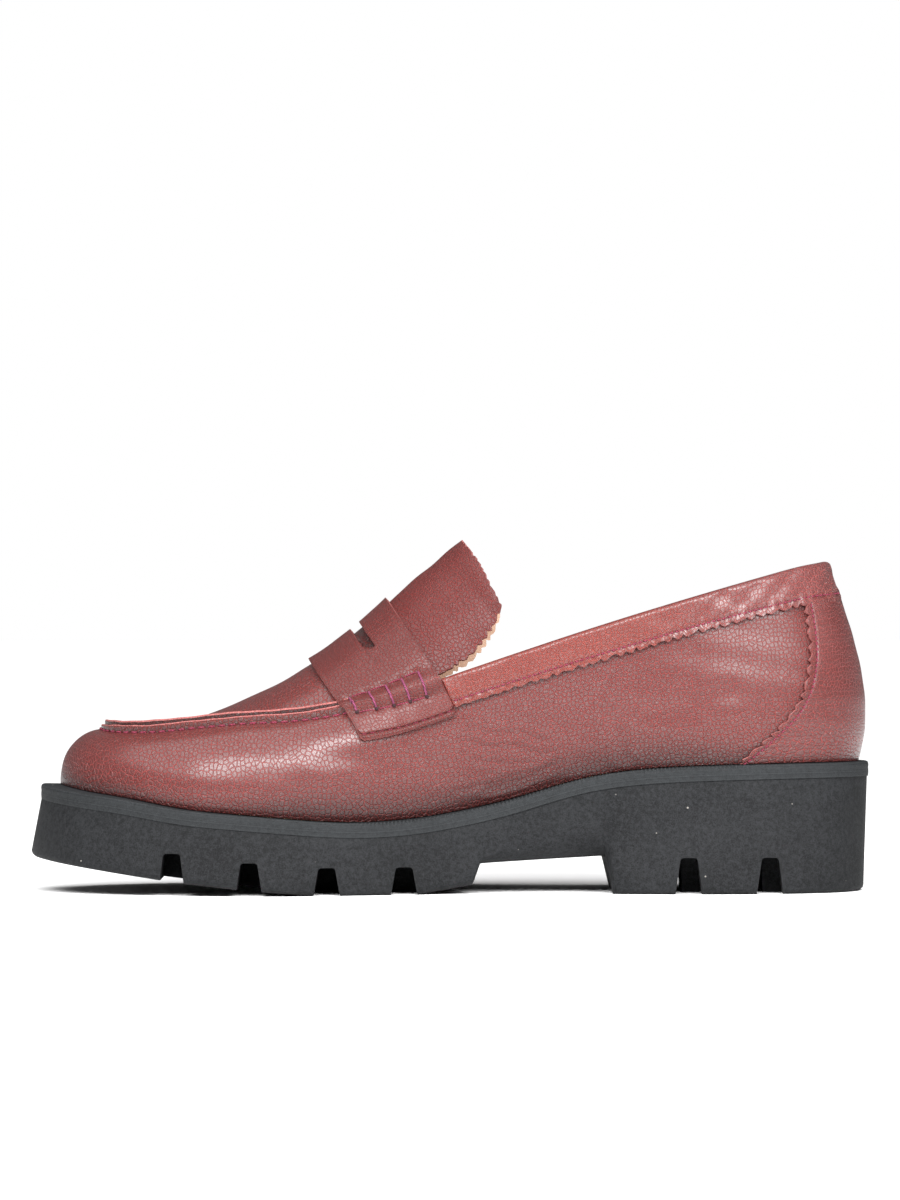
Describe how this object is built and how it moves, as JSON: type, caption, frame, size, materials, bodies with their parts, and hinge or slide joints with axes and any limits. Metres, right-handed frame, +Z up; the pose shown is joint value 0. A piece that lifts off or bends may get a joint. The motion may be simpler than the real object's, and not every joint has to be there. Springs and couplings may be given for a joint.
{
  "type": "chunky lug sole penny loafer",
  "caption": "Right-foot slip-on loafer with a raised apron seam, slotted saddle strap, tongue, collar band and heel counter on a chunky lugged rubber sole.",
  "frame": {"origin": "on the floor under the middle of the shoe's box", "axes": "+Z up, toe towards -X, heel towards +X, inner side of the foot towards -Y"},
  "size_m": [0.2786, 0.1026, 0.1166],
  "materials": {
    "leather": "pebbled burgundy grain, softly polished",
    "raw_edge": "cut leather edge",
    "footbed": "smooth natural lining",
    "sole_rubber": "matte black with fine specks"
  },
  "bodies": {
    "root": {"outsole": "sole_rubber", "welt": "sole_rubber", "insole": "footbed", "upper": "leather", "apron_seam": "raw_edge", "saddle_strap": "leather", "tongue": "leather", "collar_band": "leather", "heel_counter": "leather"}
  },
  "joints": []
}
